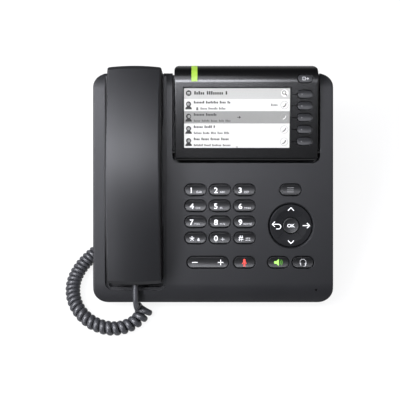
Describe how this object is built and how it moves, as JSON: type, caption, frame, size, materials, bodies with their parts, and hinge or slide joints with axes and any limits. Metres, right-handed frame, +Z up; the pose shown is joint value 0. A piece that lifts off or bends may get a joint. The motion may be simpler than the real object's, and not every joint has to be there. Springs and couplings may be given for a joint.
{
  "type": "desk phone",
  "caption": "Desk IP phone with a corded handset in a cradle, a tilting display module with soft keys, a keypad, a navigation pad and a rear foot stand.",
  "frame": {"origin": "middle of the footprint on the desk, without the cord", "axes": "+X to the phone's right, +Y to its rear, +Z up"},
  "size_m": [0.2435, 0.2304, 0.1267],
  "materials": {
    "housing": "fine matt texture",
    "handset": "satin",
    "bezel": "satin",
    "keys": "satin",
    "rubber": "matt",
    "steel": "plain",
    "circuit_board": "solder resist",
    "speaker": "matt",
    "microphone": "satin",
    "socket_plastic": "plain",
    "window": "clear, glossy",
    "screen": "lit",
    "light_bar": "translucent green",
    "plug": "clear",
    "cord": "satin vinyl"
  },
  "bodies": {
    "base": {"base_top_cover": "housing", "base_bottom_cover": "housing", "foot_stand": "housing", "rubber_feet": "rubber", "housing_screws": "steel", "main_board": "circuit_board", "key_board": "circuit_board", "key_mat": "rubber", "loudspeaker": "speaker", "hands_free_microphone": "microphone", "hook_switch": "socket_plastic", "network_sockets": "socket_plastic", "audio_sockets": "socket_plastic", "power_socket": "socket_plastic", "base_plug": "plug", "cord_tail": "cord", "cord_coil": "cord", "cord_base_tail": "cord"},
    "display": {"display_bezel": "bezel", "display_rear_cover": "bezel", "display_window": "window", "lcd_panel": "screen", "display_board": "circuit_board", "soft_key_mat": "rubber", "light_bar": "light_bar", "hinge_pins": "steel"},
    "handset": {"handset_outer_shell": "handset", "handset_inner_shell": "handset", "handset_jack": "socket_plastic", "earpiece": "speaker", "handset_microphone": "microphone", "handset_weight": "steel", "handset_plug": "plug"},
    "hook": {"hook_plunger": "socket_plastic"},
    "key_1_body": {"key_1": "keys"},
    "key_2_body": {"key_2": "keys"},
    "key_3_body": {"key_3": "keys"},
    "key_4_body": {"key_4": "keys"},
    "key_5_body": {"key_5": "keys"},
    "key_6_body": {"key_6": "keys"},
    "key_7_body": {"key_7": "keys"},
    "key_8_body": {"key_8": "keys"},
    "key_9_body": {"key_9": "keys"},
    "key_star_body": {"key_star": "keys"},
    "key_0_body": {"key_0": "keys"},
    "key_hash_body": {"key_hash": "keys"},
    "menu_key_body": {"menu_key": "keys"},
    "mute_key_body": {"mute_key": "keys"},
    "speaker_key_body": {"speaker_key": "keys"},
    "headset_key_body": {"headset_key": "keys"},
    "ok_key_body": {"ok_key": "keys"},
    "soft_key_1_body": {"soft_key_1": "keys"},
    "soft_key_2_body": {"soft_key_2": "keys"},
    "soft_key_3_body": {"soft_key_3": "keys"},
    "soft_key_4_body": {"soft_key_4": "keys"},
    "soft_key_5_body": {"soft_key_5": "keys"},
    "mode_key_body": {"mode_key": "keys"},
    "volume": {"volume_rocker": "keys"},
    "gimbal": {"nav_gimbal": "housing"},
    "nav": {"nav_pad": "keys"}
  },
  "joints": [
    {"name": "key_1_press", "type": "slide", "parent": "base", "child": "key_1_body", "axis": [0, 0.4226, -0.9063], "range_m": [0, 0.0012], "stiffness_N_per_m": 300, "springref_m": -0.001},
    {"name": "key_2_press", "type": "slide", "parent": "base", "child": "key_2_body", "axis": [0, 0.4226, -0.9063], "range_m": [0, 0.0012], "stiffness_N_per_m": 300, "springref_m": -0.001},
    {"name": "key_3_press", "type": "slide", "parent": "base", "child": "key_3_body", "axis": [0, 0.4226, -0.9063], "range_m": [0, 0.0012], "stiffness_N_per_m": 300, "springref_m": -0.001},
    {"name": "key_4_press", "type": "slide", "parent": "base", "child": "key_4_body", "axis": [0, 0.4226, -0.9063], "range_m": [0, 0.0012], "stiffness_N_per_m": 300, "springref_m": -0.001},
    {"name": "key_5_press", "type": "slide", "parent": "base", "child": "key_5_body", "axis": [0, 0.4226, -0.9063], "range_m": [0, 0.0012], "stiffness_N_per_m": 300, "springref_m": -0.001},
    {"name": "key_6_press", "type": "slide", "parent": "base", "child": "key_6_body", "axis": [0, 0.4226, -0.9063], "range_m": [0, 0.0012], "stiffness_N_per_m": 300, "springref_m": -0.001},
    {"name": "key_7_press", "type": "slide", "parent": "base", "child": "key_7_body", "axis": [0, 0.4226, -0.9063], "range_m": [0, 0.0012], "stiffness_N_per_m": 300, "springref_m": -0.001},
    {"name": "key_8_press", "type": "slide", "parent": "base", "child": "key_8_body", "axis": [0, 0.4226, -0.9063], "range_m": [0, 0.0012], "stiffness_N_per_m": 300, "springref_m": -0.001},
    {"name": "key_9_press", "type": "slide", "parent": "base", "child": "key_9_body", "axis": [0, 0.4226, -0.9063], "range_m": [0, 0.0012], "stiffness_N_per_m": 300, "springref_m": -0.001},
    {"name": "key_star_press", "type": "slide", "parent": "base", "child": "key_star_body", "axis": [0, 0.4226, -0.9063], "range_m": [0, 0.0012], "stiffness_N_per_m": 300, "springref_m": -0.001},
    {"name": "key_0_press", "type": "slide", "parent": "base", "child": "key_0_body", "axis": [0, 0.4226, -0.9063], "range_m": [0, 0.0012], "stiffness_N_per_m": 300, "springref_m": -0.001},
    {"name": "key_hash_press", "type": "slide", "parent": "base", "child": "key_hash_body", "axis": [0, 0.4226, -0.9063], "range_m": [0, 0.0012], "stiffness_N_per_m": 300, "springref_m": -0.001},
    {"name": "menu_key_press", "type": "slide", "parent": "base", "child": "menu_key_body", "axis": [0, 0.4226, -0.9063], "range_m": [0, 0.0012], "stiffness_N_per_m": 300, "springref_m": -0.001},
    {"name": "mute_key_press", "type": "slide", "parent": "base", "child": "mute_key_body", "axis": [0, 0.4226, -0.9063], "range_m": [0, 0.0012], "stiffness_N_per_m": 300, "springref_m": -0.001},
    {"name": "speaker_key_press", "type": "slide", "parent": "base", "child": "speaker_key_body", "axis": [0, 0.4226, -0.9063], "range_m": [0, 0.0012], "stiffness_N_per_m": 300, "springref_m": -0.001},
    {"name": "headset_key_press", "type": "slide", "parent": "base", "child": "headset_key_body", "axis": [0, 0.4226, -0.9063], "range_m": [0, 0.0012], "stiffness_N_per_m": 300, "springref_m": -0.001},
    {"name": "ok_key_press", "type": "slide", "parent": "base", "child": "ok_key_body", "axis": [0, 0.4226, -0.9063], "range_m": [0, 0.0012], "stiffness_N_per_m": 300, "springref_m": -0.001},
    {"name": "soft_key_1_press", "type": "slide", "parent": "display", "child": "soft_key_1_body", "axis": [0, 0.5075, -0.8616], "range_m": [0, 0.001], "stiffness_N_per_m": 300, "springref_m": -0.001},
    {"name": "soft_key_2_press", "type": "slide", "parent": "display", "child": "soft_key_2_body", "axis": [0, 0.5075, -0.8616], "range_m": [0, 0.001], "stiffness_N_per_m": 300, "springref_m": -0.001},
    {"name": "soft_key_3_press", "type": "slide", "parent": "display", "child": "soft_key_3_body", "axis": [0, 0.5075, -0.8616], "range_m": [0, 0.001], "stiffness_N_per_m": 300, "springref_m": -0.001},
    {"name": "soft_key_4_press", "type": "slide", "parent": "display", "child": "soft_key_4_body", "axis": [0, 0.5075, -0.8616], "range_m": [0, 0.001], "stiffness_N_per_m": 300, "springref_m": -0.001},
    {"name": "soft_key_5_press", "type": "slide", "parent": "display", "child": "soft_key_5_body", "axis": [0, 0.5075, -0.8616], "range_m": [0, 0.001], "stiffness_N_per_m": 300, "springref_m": -0.001},
    {"name": "mode_key_press", "type": "slide", "parent": "display", "child": "mode_key_body", "axis": [0, 0.5075, -0.8616], "range_m": [0, 0.001], "stiffness_N_per_m": 300, "springref_m": -0.001},
    {"name": "volume_rock", "type": "hinge", "parent": "base", "child": "volume", "pos_m": [-0.0048, -0.06933, 0.035], "axis": [0, 0.9063, 0.4226], "range_deg": [-2.5, 2.5], "stiffness_Nm_per_rad": 0.4},
    {"name": "nav_up_down", "type": "hinge", "parent": "base", "child": "gimbal", "pos_m": [0.0699, -0.03888, 0.04777], "axis": [1, 0, 0], "range_deg": [-2.5, 2.5], "stiffness_Nm_per_rad": 0.3},
    {"name": "nav_left_right", "type": "hinge", "parent": "gimbal", "child": "nav", "pos_m": [0.0699, -0.03888, 0.04777], "axis": [0, 0.9063, 0.4226], "range_deg": [-2.5, 2.5], "stiffness_Nm_per_rad": 0.3},
    {"name": "display_tilt", "type": "hinge", "parent": "base", "child": "display", "pos_m": [0.02935, 0.02001, 0.07765], "axis": [1, 0, 0], "range_deg": [-5, 24]},
    {"name": "handset_lift", "type": "slide", "parent": "base", "child": "handset", "axis": [0, -0.4226, 0.9063], "range_m": [0, 0.08]},
    {"name": "hook_rise", "type": "slide", "parent": "base", "child": "hook", "axis": [0, -0.4226, 0.9063], "range_m": [0, 0.0025]}
  ],
  "couplings": [
    {"joint": "hook_rise", "follows": "handset_lift", "ratio": 0.03125}
  ]
}
